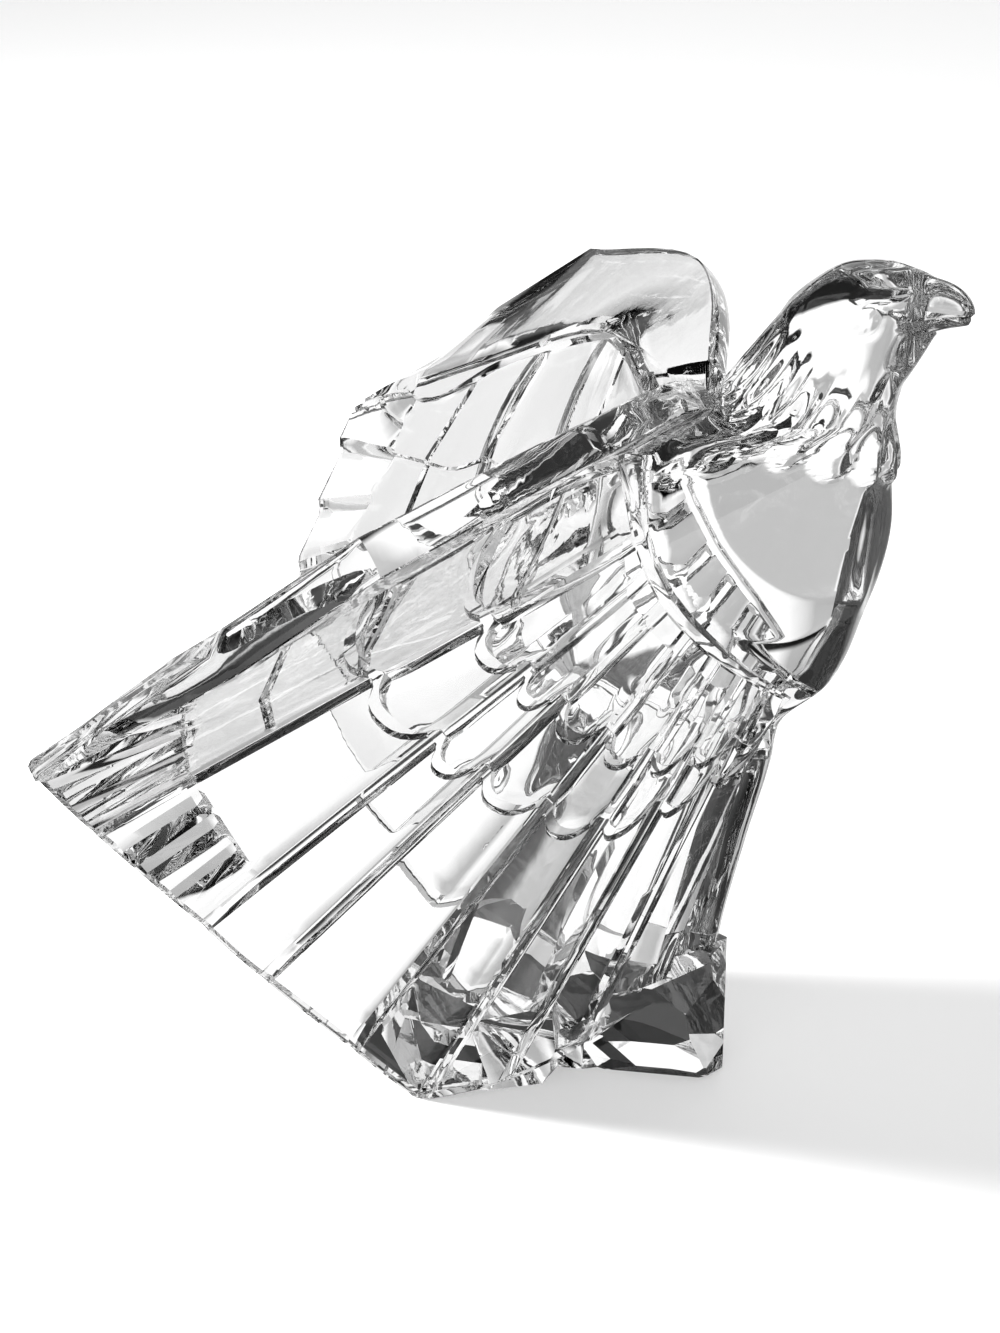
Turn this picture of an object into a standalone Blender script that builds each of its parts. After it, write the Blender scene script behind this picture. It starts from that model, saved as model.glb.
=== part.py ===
"""Crystal eagle figurine: one solid of cut crystal, wings raised and swept back, on its rock.

Frame: +X is the way the bird faces, +Y its left, +Z up. The origin is on the table, under the
rock. Landmarks are percents of the figure's height and describe the bird's left wing; the
right wing is its mirror. Walls, cuts and steps are sizes of their own, in metres.
"""
import math

import bmesh
import bpy
import numpy as np

NODE = "eagle"

# Overall size
HEIGHT = 0.212
PERCENT = HEIGHT / 100.0

# Wing walls
WING_ROOT_WALL = 0.0115
WING_TIP_WALL = 0.0070
LEADING_EDGE_ROUND = 0.0030

# Cuts between the feathers and steps where one row of feathers ends on the next
GROOVE_WIDTH = 0.0034
GROOVE_DEPTH = 0.0014
BACK_GROOVE_DEPTH = 0.0008
FEATHER_CROWN = 0.0008
TIER_STEP_DEPTH = 0.0016
BAND_STEP_DEPTH = 0.0015
STEP_WIDTH = 0.0012
TIP_BEVEL_DEPTH = 0.0024
TIP_RIM_SLANT = 0.0055

# Shares along a feather: where the two upper rows end, at the top and at the bottom of the wing
TIER_ENDS = ((0.29, 0.135), (0.49, 0.215))
TIER_ROUNDING = 0.045
TIP_BEVEL_SHARE = 0.80
# A usual feather's length as a share of the height, and a cut's greatest share of a feather
USUAL_FEATHER_SHARE = 0.65
WIDEST_CUT_SHARE = 0.3

# Grid of a wing: rows inside each stretch of a feather, and columns in the smooth band
STRETCH_SHARES = (0.25, 0.50, 0.75)
BAND_COLUMNS = (0.0, 0.35, 0.75)
# Share of a rib that its slope is read over, and the wall's thinning inside the body
RIB_PROBE = 0.01
SHOULDER_THINNING = 0.5

# Body
BODY_SIDES = 36
BODY_SQUARENESS = 2.3
BEAK_HALF_ANGLE = math.radians(26.0)
BROW_DEPTH = 0.0016
EYE_DEPTH = 0.0022

# Tail
TAIL_WALL = 0.0220
TAIL_FEATHERS = 5
TAIL_GROOVE_DEPTH = 0.0012
TAIL_CROWN = 0.0040

# Rock, and the block below the table that cuts it off flat
ROCK_HEIGHT = 0.0300
ROCK_FOOT_DEPTH = 0.0020
ROCK_SIDES = 12
ROCK_ROUGHNESS = 0.17
TABLE_BLOCK_SIZE = 0.5

# Wing landmarks, in percents of height: forward, outward, up
LEADING_EDGE = ((8.6, 4.7, 85.0), (6.5, 18.9, 88.7), (1.4, 35.0, 90.3), (-16.6, 59.7, 85.0))
WING_TIP = (-50.0, 66.4, 62.0)
BAND_LINE = ((-0.7, 13.9, 80.7), (-4.1, 23.5, 81.5), (-12.4, 40.8, 78.9), (-27.5, 50.5, 71.2),
             (-50.9, 62.9, 59.3))
FEATHER_ROOTS = ((2.0, 11.2, 71.2), (5.2, 11.6, 64.4), (11.1, 9.7, 57.2), (17.2, 3.1, 50.1))
FEATHER_TIPS = ((-53.4, 41.5, 43.2), (-45.6, 29.7, 26.8), (-40.1, 25.4, 18.3), (-31.0, 21.2, 7.8),
                (-23.6, 18.0, -0.4), (-14.0, 15.4, 1.6), (-5.0, 11.8, 5.6), (4.6, 7.1, 12.4))
SHOULDER_LINE = ((9.0, -2.0, 79.0), (7.5, -2.0, 74.0), (9.0, -2.0, 65.0), (14.0, -2.0, 50.0))

# Body rings from the rock to the crown, in percents of height: level, front, back, half width
BODY_RINGS = (
    (8.0, 8.8, -12.5, 5.0), (13.9, 9.3, -12.0, 5.2), (29.0, 12.7, -11.0, 5.4), (39.6, 15.6, -10.5, 5.6),
    (44.5, 16.6, -10.0, 5.8), (50.2, 22.4, -9.6, 6.6), (53.6, 24.2, -9.4, 8.4), (57.9, 25.7, -9.2, 10.4),
    (64.2, 27.6, -9.0, 12.0), (70.2, 28.6, -8.0, 12.2), (76.0, 28.8, -6.6, 11.4), (80.0, 29.0, -2.0, 9.8),
    (83.4, 29.4, 8.2, 7.8), (87.9, 30.0, 12.2, 7.1), (92.5, 30.8, 15.2, 6.9), (95.6, 31.2, 17.2, 6.2),
    (97.8, 30.9, 19.8, 5.0), (99.2, 30.0, 22.0, 3.2), (100.0, 27.0, 25.6, 0.5),
)
BODY_LEVELS = 38
# Eye, on a body ring: angle from straight ahead, level in percents, and half its spread in each
EYE_PLACE = (math.radians(52.0), 95.2)
EYE_SPREAD = (math.radians(20.0), 1.7)
BROW_LEVEL = 97.3
BROW_SPREAD = 0.9
# Beak, in percents of height: level, and how far it stands out in front of the head
BEAK_REACH = ((88.0, 0.0), (93.0, 2.6), (93.6, 5.7), (95.6, 5.9), (97.8, 3.2), (99.0, 1.4), (99.7, 0.0))

# Tail, in percents of height: forward, up, half width
TAIL_LINE = ((-4.0, 50.0, 4.2), (-10.5, 38.0, 6.4), (-18.5, 22.0, 9.4), (-25.0, 5.5, 12.0))
TAIL_ROWS = 7

# Rock rings: level as a share of the rock's height; then middle, half length and half width in
# percents of height. The first ring is the foot, which reaches below the table and is cut off.
ROCK_RINGS = ((0.0, -7.8, 15.6, 9.6), (0.30, -7.0, 17.2, 10.4), (0.70, -4.4, 15.4, 8.8),
              (1.05, -0.6, 9.6, 5.6))


def smooth_curve(points, shares):
    """Points at shares of the way along a smooth curve through points.

    Each stretch is a cubic whose slope at a point comes from the point's two neighbours.
    """
    points = np.asarray(points, float)
    shares = np.asarray(shares, float)
    steps = np.linalg.norm(np.diff(points, axis=0), axis=1)
    knots = np.concatenate(([0.0], np.cumsum(steps))) / steps.sum()
    slopes = np.gradient(points, knots, axis=0)
    cell = np.clip(np.searchsorted(knots, shares, side="right") - 1, 0, len(knots) - 2)
    width = (knots[cell + 1] - knots[cell])[..., None]
    t = (shares - knots[cell])[..., None] / width
    return ((2 * t ** 3 - 3 * t ** 2 + 1) * points[cell]
            + (t ** 3 - 2 * t ** 2 + t) * width * slopes[cell]
            + (3 * t ** 2 - 2 * t ** 3) * points[cell + 1]
            + (t ** 3 - t ** 2) * width * slopes[cell + 1])


def leading_edge(shares):
    """Points along the leading edge: curved out to the wrist, then straight back to the tip."""
    wrist = np.array(LEADING_EDGE[-1])
    arm = np.linalg.norm(np.diff(np.array(LEADING_EDGE), axis=0), axis=1).sum()
    hand = np.linalg.norm(np.array(WING_TIP) - wrist)
    bend = arm / (arm + hand)
    curved = smooth_curve(LEADING_EDGE, np.minimum(shares / bend, 1.0))
    past = np.clip((shares - bend) / (1.0 - bend), 0.0, 1.0)[..., None]
    return np.where(past > 0.0, wrist + past * (np.array(WING_TIP) - wrist), curved)


def unit(vectors):
    """Vectors of length one."""
    return vectors / np.linalg.norm(vectors, axis=-1, keepdims=True)


def grid_faces(rows, columns, first):
    """Quads of a grid whose vertices start at index first."""
    index = first + np.arange(rows * columns).reshape(rows, columns)
    return np.stack([index[:-1, :-1], index[1:, :-1], index[1:, 1:], index[:-1, 1:]], -1).reshape(-1, 4)


def slab_mesh(name, outer, inner, nose=None):
    """Closed slab between two grids; nose is a line that rounds the edge along the first row."""
    rows, columns = outer.shape[:2]
    count = rows * columns
    front = np.arange(count).reshape(rows, columns)
    back = front + count
    vertices = [outer.reshape(-1, 3), inner.reshape(-1, 3)]
    faces = grid_faces(rows, columns, 0).tolist() + grid_faces(rows, columns, count)[:, ::-1].tolist()
    borders = [(front[-1], back[-1]), (front[:, 0], back[:, 0]), (front[:, -1], back[:, -1])]
    if nose is None:
        borders.append((front[0], back[0]))
    else:
        ridge = 2 * count + np.arange(columns)
        vertices.append(nose)
        borders.append((front[0], ridge))
        borders.append((ridge, back[0]))
        faces.append([front[0, 0], ridge[0], back[0, 0]])
        faces.append([front[0, -1], ridge[-1], back[0, -1]])
    for near, far in borders:
        for k in range(len(near) - 1):
            faces.append([near[k], near[k + 1], far[k + 1], far[k]])
    return new_mesh(name, np.concatenate(vertices), faces)


def tube_mesh(name, rings):
    """Closed loft through rings of equal size, with a flat cap at each end."""
    levels, sides = rings.shape[:2]
    faces = []
    for level in range(levels - 1):
        for side in range(sides):
            a = level * sides + side
            b = level * sides + (side + 1) % sides
            faces.append([a, b, b + sides, a + sides])
    faces.append(list(range(sides))[::-1])
    faces.append(list(range((levels - 1) * sides, levels * sides)))
    return new_mesh(name, rings.reshape(-1, 3), faces)


def new_mesh(name, vertices, faces):
    """Triangle mesh from vertices and faces, with its normals outwards."""
    mesh = bpy.data.meshes.new(name)
    mesh.from_pydata(vertices.tolist(), [], [list(map(int, face)) for face in faces])
    work = bmesh.new()
    work.from_mesh(mesh)
    bmesh.ops.triangulate(work, faces=work.faces)
    bmesh.ops.recalc_face_normals(work, faces=work.faces)
    work.to_mesh(mesh)
    work.free()
    return mesh


def feather_columns():
    """Places across the wing: (strip, share of the strip, cut side).

    Strip 0 is the smooth band behind the leading edge, and each later strip is a feather
    between two cuts. A cut side of 1 or -1 marks the shoulder of a cut, 0 a plain place.
    """
    columns = [(0, share, 0) for share in BAND_COLUMNS] + [(0, 1.0, -1)]
    for strip in range(1, len(FEATHER_TIPS) + 1):
        columns += [(strip, 0.0, 0), (strip, 0.0, 1), (strip, 0.5, 0), (strip, 1.0, -1)]
    columns.append((len(FEATHER_TIPS), 1.0, 0))
    return columns


def rib_points(shares):
    """Points of every rib at the given shares of its length, one row for each rib.

    shares has one row for each rib: the leading edge, the band's line, then the feather lines.
    """
    roots = smooth_curve(FEATHER_ROOTS, np.linspace(0.0, 1.0, len(FEATHER_TIPS)))
    tips = np.array(FEATHER_TIPS)
    straight = roots[:, None] + shares[2:, :, None] * (tips - roots)[:, None]
    return np.concatenate([leading_edge(shares[:1]), smooth_curve(BAND_LINE, shares[1:2]), straight])


def rib_normals(shares):
    """Outward normal of the smooth wing at the same places as rib_points."""
    along = rib_points(shares + RIB_PROBE) - rib_points(shares - RIB_PROBE)
    across = np.gradient(rib_points(shares), axis=0)
    return unit(np.cross(across, along))


def wing_grid():
    """Smooth wing surface at every grid point, with its normals and places.

    Gives, in this order: the points in metres, the outward normals, the share along the feather,
    the strip of each column, the share across the strip, the distance to the nearest cut in
    metres, and the share where each of the two upper rows of feathers ends in each column.
    """
    columns = feather_columns()
    strip = np.array([column[0] for column in columns])
    across = np.array([column[1] for column in columns])
    side = np.array([column[2] for column in columns])
    top_to_bottom = np.clip((strip + across - 1.0) / len(FEATHER_TIPS), 0.0, 1.0)
    ends = [top + (bottom - top) * top_to_bottom ** 2 for top, bottom in TIER_ENDS]
    rounding = TIER_ROUNDING * (1.0 - (2.0 * across - 1.0) ** 2) * (strip > 0)
    first, second = (end + rounding * (1.0 - 0.5 * top_to_bottom) for end in ends)
    run = 0.5 * STEP_WIDTH / (USUAL_FEATHER_SHARE * HEIGHT)
    bevel = np.full_like(first, TIP_BEVEL_SHARE)
    covered = [share * first for share in (0.0,) + STRETCH_SHARES]
    bare = [second + share * (bevel - second) for share in STRETCH_SHARES + (1.0,)]
    tip = [0.5 * (1.0 + bevel), np.ones_like(bevel)]
    along = np.stack(covered + [first - run, first + run, 0.5 * (first + second), second - run,
                                second + run] + bare + tip, axis=1)
    points = np.empty(along.shape + (3,))
    normals = np.empty(along.shape + (3,))
    gap = np.zeros(along.shape)
    across_shift = np.zeros(along.shape)
    for k in range(len(columns)):
        shares = np.tile(along[k], (len(FEATHER_TIPS) + 2, 1))
        ribs = rib_points(shares) * PERCENT
        facing = rib_normals(shares)
        low, high = ribs[strip[k]], ribs[strip[k] + 1]
        width = np.linalg.norm(high - low, axis=1)
        shift = side[k] * np.minimum(0.5 * GROOVE_WIDTH / width, WIDEST_CUT_SHARE)
        share = across[k] + shift
        points[k] = low + share[:, None] * (high - low)
        normals[k] = unit((1.0 - share[:, None]) * facing[strip[k]] + share[:, None] * facing[strip[k] + 1])
        across_shift[k] = share
        gap[k] = np.minimum(share, 1.0 - share) * width
    return points, normals, along, strip, across_shift, gap, (first, second)


def wing_mesh(name):
    """One wing: a slab whose outer face carries the feathers, reaching in behind the neck."""
    points, normals, along, strip, across, gap, tier_ends = wing_grid()
    feathered = (strip > 0)[:, None]
    cut = np.clip(1.0 - gap / (0.5 * GROOVE_WIDTH), 0.0, 1.0)
    crown = FEATHER_CROWN * (1.0 - (2.0 * across - 1.0) ** 2)
    relief = np.where(feathered, crown - GROOVE_DEPTH * cut, BAND_STEP_DEPTH)
    for end in tier_ends:
        relief = relief + np.where(feathered & (along < end[:, None]), TIER_STEP_DEPTH, 0.0)
    past = np.clip((along - TIP_BEVEL_SHARE) / (1.0 - TIP_BEVEL_SHARE), 0.0, 1.0)
    relief = relief - TIP_BEVEL_DEPTH * past * feathered
    wall = WING_ROOT_WALL + (WING_TIP_WALL - WING_ROOT_WALL) * along
    lift = 0.5 * wall * np.where(feathered, 0.0, 1.0 - across)
    back_relief = np.where(feathered, -BACK_GROOVE_DEPTH * cut, BAND_STEP_DEPTH)
    outer = points + normals * (relief + lift)[..., None]
    inner = points - normals * (wall - lift + back_relief)[..., None]
    spread = unit(points[0] - points[2])
    outer[0] -= spread * LEADING_EDGE_ROUND
    inner[0] -= spread * LEADING_EDGE_ROUND
    inner[:, -1] += unit(inner[:, -2] - inner[:, -1]) * TIP_RIM_SLANT
    outer, inner = reach_in(outer, inner, strip, across)
    nose = np.concatenate([0.5 * (outer[:1, 0] + inner[:1, 0]), points[0]])
    return slab_mesh(name, outer, inner, nose)


def reach_in(outer, inner, strip, across):
    """Adds a first row to both grids, near the figure's middle line inside the body."""
    shares = (strip + across[:, 0]) / (len(FEATHER_TIPS) + 1.0)
    line = smooth_curve(SHOULDER_LINE, shares) * PERCENT
    wall = (inner[:, 0] - outer[:, 0]) * SHOULDER_THINNING
    return (np.concatenate([line[:, None], outer], axis=1),
            np.concatenate([(line + wall)[:, None], inner], axis=1))


def body_mesh(name):
    """Breast, neck and head: one loft of level rings with a hooked beak at its front."""
    table = np.array(BODY_RINGS)
    knots = np.arange(len(table))
    places = np.linspace(0.0, len(table) - 1.0, BODY_LEVELS)
    level, front, back, half = (np.interp(places, knots, table[:, k]) for k in range(4))
    beak = np.interp(level, *np.array(BEAK_REACH).T, left=0.0, right=0.0)
    turn = np.linspace(0.0, 2.0 * math.pi, BODY_SIDES, endpoint=False)
    cosine, sine = np.cos(turn), np.sin(turn)
    power = BODY_SQUARENESS
    radius = (np.abs(cosine) ** power + np.abs(sine) ** power) ** (-1.0 / power)
    middle, reach = 0.5 * (front + back), 0.5 * (front - back)
    off_front = np.minimum(turn, 2.0 * math.pi - turn)
    lobe = 0.5 + 0.5 * np.cos(math.pi * np.clip(off_front / BEAK_HALF_ANGLE, 0.0, 1.0))
    near_eye = ((off_front - EYE_PLACE[0]) / EYE_SPREAD[0]) ** 2
    eye = np.exp(-near_eye - (((level - EYE_PLACE[1]) / EYE_SPREAD[1]) ** 2)[:, None])
    brow = np.exp(-near_eye - (((level - BROW_LEVEL) / BROW_SPREAD) ** 2)[:, None])
    carving = (BROW_DEPTH * brow - EYE_DEPTH * eye) / PERCENT
    rings = np.empty((BODY_LEVELS, BODY_SIDES, 3))
    rings[..., 0] = (middle[:, None] + (reach[:, None] * radius + carving) * cosine
                     + beak[:, None] * lobe)
    rings[..., 1] = (half[:, None] * radius + carving) * sine
    rings[..., 2] = level[:, None]
    return tube_mesh(name, rings * PERCENT)


def tail_mesh(name):
    """Fanned tail: a thick wedge between the wings, with feathers cut on its back."""
    along = np.linspace(0.0, 1.0, TAIL_ROWS)
    line = smooth_curve(TAIL_LINE, along)
    across = np.linspace(-1.0, 1.0, 2 * TAIL_FEATHERS + 1)
    outer = np.empty((len(across), TAIL_ROWS, 3))
    outer[..., 0] = line[:, 0] * PERCENT
    outer[..., 1] = across[:, None] * line[:, 2] * PERCENT
    outer[..., 2] = line[:, 1] * PERCENT
    slope = unit(np.gradient(line[:, :2], axis=0))
    away = np.stack([slope[:, 1], 0.0 * slope[:, 0], -slope[:, 0]], axis=1)
    lift = TAIL_CROWN * (1.0 - across ** 2) - TAIL_GROOVE_DEPTH * (np.arange(len(across)) % 2 == 0)
    inner = outer - away * TAIL_WALL
    outer = outer + away * lift[:, None, None]
    return slab_mesh(name, outer, inner)


def rock_mesh(name):
    """Faceted rock: rings of uneven corners, each ring turned half a corner on the last."""
    rings = np.empty((len(ROCK_RINGS), ROCK_SIDES, 3))
    for k, (share, middle, half_length, half_width) in enumerate(ROCK_RINGS):
        turn = 2.0 * math.pi * (np.arange(ROCK_SIDES) + 0.5 * (k % 2)) / ROCK_SIDES
        uneven = 1.0 + ROCK_ROUGHNESS * np.cos(3.0 * turn + 1.9 * k) * np.cos(turn * (k + 1))
        uneven = 0.5 * (uneven + uneven[(-np.arange(ROCK_SIDES) - k % 2) % ROCK_SIDES])
        rings[k, :, 0] = (middle + half_length * uneven * np.cos(turn)) * PERCENT
        rings[k, :, 1] = half_width * uneven * np.sin(turn) * PERCENT
        rings[k, :, 2] = share * ROCK_HEIGHT
    rings[0, :, 2] = -ROCK_FOOT_DEPTH
    return tube_mesh(name, rings)


def mirrored(mesh, name):
    """Copy of a mesh on the other side of the figure."""
    copy = mesh.copy()
    copy.name = name
    work = bmesh.new()
    work.from_mesh(copy)
    for vertex in work.verts:
        vertex.co.y = -vertex.co.y
    bmesh.ops.reverse_faces(work, faces=work.faces)
    work.to_mesh(copy)
    work.free()
    return copy


def crystal():
    """Clear colourless crystal."""
    material = bpy.data.materials.new("crystal")
    material.use_nodes = True
    shader = material.node_tree.nodes["Principled BSDF"]
    shader.inputs["Base Color"].default_value = (0.95, 0.96, 0.97, 1.0)
    shader.inputs["Roughness"].default_value = 0.02
    shader.inputs["Metallic"].default_value = 0.0
    shader.inputs["IOR"].default_value = 1.55
    shader.inputs["Transmission Weight"].default_value = 1.0
    return material


def add_object(name, mesh, collection):
    """Object that shows a mesh, in a collection."""
    thing = bpy.data.objects.new(name, mesh)
    collection.objects.link(thing)
    return thing


def helper(name, mesh, collection):
    """Object that only joins or cuts another."""
    thing = add_object(name, mesh, collection)
    thing.hide_render = True
    thing.display_type = "WIRE"
    return thing


def boolean(target, other, operation):
    """Joins or cuts the target with another object."""
    modifier = target.modifiers.new(other.name, "BOOLEAN")
    modifier.operation = operation
    modifier.solver = "EXACT"
    modifier.object = other


def build():
    """Makes the figurine as one object with its wings, tail and rock joined on."""
    for thing in list(bpy.data.objects):
        bpy.data.objects.remove(thing)
    parts = bpy.data.collections.new("eagle figurine")
    cutters = bpy.data.collections.new("cutters")
    for collection in (parts, cutters):
        bpy.context.scene.collection.children.link(collection)

    eagle = add_object(NODE, body_mesh("body"), parts)
    eagle.data.materials.append(crystal())
    left_wing = wing_mesh("left_wing")
    additions = (left_wing, mirrored(left_wing, "right_wing"), tail_mesh("tail"), rock_mesh("rock"))
    for mesh in additions:
        boolean(eagle, helper(mesh.name, mesh, cutters), "UNION")

    bpy.ops.mesh.primitive_cube_add(size=TABLE_BLOCK_SIZE, location=(0.0, 0.0, -0.5 * TABLE_BLOCK_SIZE))
    table = bpy.context.object
    table.name = "table_cut"
    table.hide_render = True
    table.display_type = "WIRE"
    for collection in table.users_collection:
        collection.objects.unlink(table)
    cutters.objects.link(table)
    boolean(eagle, table, "DIFFERENCE")


build()
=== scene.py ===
"""Looks of a cut crystal eagle figurine: wings raised and swept back, standing on its rock.

The figurine is one piece of clear crystal. Each wing is a slab over its ribs, cut with
feathers, the body is a stack of level rings, the tail a fan and the rock four faceted blocks.
A Boolean union makes them one closed skin, which stands for the plain solid.

Frame: +X is the way the bird faces, +Y its left, +Z up, and the origin is on the table.
Landmarks are percents of the figure's height, and cuts, walls and steps are metres.
"""
from __future__ import annotations

import logging
import math
from dataclasses import dataclass, field
from enum import Enum
from itertools import combinations

import bmesh
import bpy
import numpy as np
from mathutils import Matrix, Vector


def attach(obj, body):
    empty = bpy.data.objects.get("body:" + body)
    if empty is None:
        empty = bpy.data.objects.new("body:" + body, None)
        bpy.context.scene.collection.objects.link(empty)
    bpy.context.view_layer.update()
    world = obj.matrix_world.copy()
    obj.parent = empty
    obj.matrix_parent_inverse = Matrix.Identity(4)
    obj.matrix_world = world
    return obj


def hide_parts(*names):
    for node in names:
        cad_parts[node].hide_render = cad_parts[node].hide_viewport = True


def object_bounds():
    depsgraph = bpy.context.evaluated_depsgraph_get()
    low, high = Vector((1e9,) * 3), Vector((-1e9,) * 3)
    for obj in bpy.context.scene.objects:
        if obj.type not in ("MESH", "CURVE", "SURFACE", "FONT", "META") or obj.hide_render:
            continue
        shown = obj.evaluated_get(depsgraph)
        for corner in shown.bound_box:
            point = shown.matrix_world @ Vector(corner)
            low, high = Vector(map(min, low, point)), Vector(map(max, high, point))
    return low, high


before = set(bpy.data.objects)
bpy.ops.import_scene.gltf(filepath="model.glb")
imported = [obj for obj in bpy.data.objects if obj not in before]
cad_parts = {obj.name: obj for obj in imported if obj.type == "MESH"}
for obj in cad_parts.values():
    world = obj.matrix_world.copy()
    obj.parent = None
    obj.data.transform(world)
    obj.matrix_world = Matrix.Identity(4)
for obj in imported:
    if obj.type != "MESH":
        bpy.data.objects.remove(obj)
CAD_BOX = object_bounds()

Array = np.ndarray
Numbers = tuple[float, ...]
Landmarks = tuple[Numbers, ...]

LOG = logging.getLogger("eagle")
HEIGHT = CAD_BOX[1].z - CAD_BOX[0].z
PERCENT = HEIGHT / 100.0


class Side(Enum):
    """The side of the bird that a wing is on, as the sign of its Y."""

    LEFT = 1.0
    RIGHT = -1.0


def unit(vectors: Array) -> Array:
    """Vectors of length one, along the last axis."""
    return vectors / np.linalg.norm(vectors, axis=-1, keepdims=True)


def clamp(values: Array) -> Array:
    """Values held between nothing and one."""
    return np.clip(values, 0.0, 1.0)


def cubics(knots: Array, values: Array, places: Array) -> Array:
    """Values on a smooth line of cubics: h00 v0 + h10 w s0 + h01 v1 + h11 w s1 in each cell.

    Args:
        knots: Place of each landmark, rising.
        values: Value at each landmark, a number or a row of coordinates. Its slope there
            comes from the landmark's neighbours.
        places: Places to work out, in any array shape.

    Returns:
        Values in the shape of places, with one more axis where values are rows.
    """
    slopes = np.gradient(values, knots, axis=0)
    cell = np.clip(np.searchsorted(knots, places, side="right") - 1, 0, len(knots) - 2)
    shape = cell.shape + (1,) * (values.ndim - 1)
    width = (knots[cell + 1] - knots[cell]).reshape(shape)
    t = (places - knots[cell]).reshape(shape) / width
    return ((2 * t ** 3 - 3 * t ** 2 + 1) * values[cell]
            + (t ** 3 - 2 * t ** 2 + t) * width * slopes[cell]
            + (3 * t ** 2 - 2 * t ** 3) * values[cell + 1]
            + (t ** 3 - t ** 2) * width * slopes[cell + 1])


def smooth_curve(points: Landmarks | Array, shares: Array) -> Array:
    """Points on a smooth curve of cubics through landmarks.

    Args:
        points: Landmarks, one row each.
        shares: Shares of the way along, in any array shape.

    Returns:
        Points in the shape of shares, with one more axis for the coordinates.
    """
    points = np.asarray(points, float)
    steps = np.linalg.norm(np.diff(points, axis=0), axis=1)
    knots = np.concatenate(([0.0], np.cumsum(steps))) / steps.sum()
    return cubics(knots, points, np.asarray(shares, float))


def smooth_line(points: Landmarks, places: Array) -> Array:
    """Heights of a smooth line over level places, through landmarks (place, height)."""
    knots, heights = np.array(points).T
    return cubics(knots, heights, places)


def between(start: Array, end: Array, count: int) -> Array:
    """Rows of values that run evenly from start to end, both included, one row for each pair."""
    share = np.linspace(0.0, 1.0, count)
    return start[:, None] + (end - start)[:, None] * share


def hump(offset: Array) -> Array:
    """One at offset 0, falling on a smooth cosine to nothing at offset 1 and past it."""
    return 0.5 + 0.5 * np.cos(np.pi * clamp(np.abs(offset)))


def zipped(left: Array, right: Array, left_places: Array, right_places: Array) -> Array:
    """Triangles of a strip between two rows of corners, joined in the order of their places.

    Args:
        left: Indices of the corners on one side.
        right: Indices of the corners on the other side.
        left_places: Place of each left corner along the strip, rising.
        right_places: Place of each right corner along the strip, rising.

    Returns:
        Triangles, as rows of three indices.
    """
    steps = np.concatenate([left_places[1:], right_places[1:]])
    order = np.argsort(steps, kind="stable")
    is_left = order < len(left) - 1
    i, j = np.cumsum(is_left), np.cumsum(~is_left)
    with_left = np.stack([left[i - 1], left[i], right[j]], axis=1)
    with_right = np.stack([left[i], right[j], right[j - 1]], axis=1)
    return np.where(is_left[:, None], with_left, with_right)


def folded_lid(size: int, fold: int) -> Array:
    """Triangles across a ring that join each corner p to its partner, corner (fold - p)."""
    first = np.arange((size + 1) // 2 + 1) + fold // 2 + 1
    left, right = first % size, (fold - first) % size
    return zipped(left, right, first + 0.0, first + 0.0)


def loft_mesh(name: str, rings: Array, lid: Array) -> bpy.types.Mesh:
    """Closed triangle mesh through rings, with each end closed by a lid.

    All its triangles are turned over if the volume that they enclose is negative.

    Args:
        name: Name of the mesh.
        rings: Corners, as rings by corners by coordinates.
        lid: Triangles that close the last ring, as indices in the ring.

    Returns:
        The mesh, with its faces pointing outwards.
    """
    count, size = rings.shape[:2]
    index = np.arange(count * size).reshape(count, size)
    near, far = index[:-1], index[1:]
    wall = np.stack([near, np.roll(near, -1, 1), np.roll(far, -1, 1), far], -1).reshape(-1, 4)
    triangles = np.concatenate([wall[:, (0, 1, 2)], wall[:, (0, 2, 3)], index[0][lid[:, ::-1]],
                                index[-1][lid]])
    alike = (triangles == np.roll(triangles, 1, axis=1)).any(axis=1)
    triangles, corners = triangles[~alike], rings.reshape(-1, 3)
    a, b, c = (corners[triangles[:, k]] for k in range(3))
    if np.einsum("ij,ij->", a, np.cross(b, c)) < 0.0:
        triangles = triangles[:, ::-1]
    mesh = bpy.data.meshes.new(name)
    mesh.from_pydata(corners.tolist(), [], triangles.tolist())
    return mesh


def cut_block(name: str, ways: Array, reach: Array) -> bpy.types.Mesh:
    """Closed mesh of the block behind a set of planes, the hull of the corners where they meet.

    Each three planes meet in a point, and it is a corner if it lies past no other plane.

    Args:
        name: Name of the mesh.
        ways: Outward direction of each plane.
        reach: How far out from the middle each plane lies, in percents.

    Returns:
        The mesh, as triangles.
    """
    least_slant, slack, digits, gap = 1e-3, 1e-6, 4, 0.01
    triples = np.array(list(combinations(range(len(ways)), 3)))
    triples = triples[np.abs(np.linalg.det(ways[triples])) > least_slant]
    points = np.linalg.solve(ways[triples], reach[triples][..., None])[..., 0]
    corners = points[(points @ ways.T <= reach + slack).all(axis=1)]
    block = bmesh.new()
    for corner in np.unique(np.round(corners, digits), axis=0):
        block.verts.new(corner)
    bmesh.ops.remove_doubles(block, verts=block.verts, dist=gap)
    bmesh.ops.convex_hull(block, input=block.verts)
    bmesh.ops.delete(block, geom=[v for v in block.verts if not v.link_faces], context="VERTS")
    bmesh.ops.recalc_face_normals(block, faces=block.faces)
    mesh = bpy.data.meshes.new(name)
    block.to_mesh(mesh)
    block.free()
    return mesh


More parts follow.
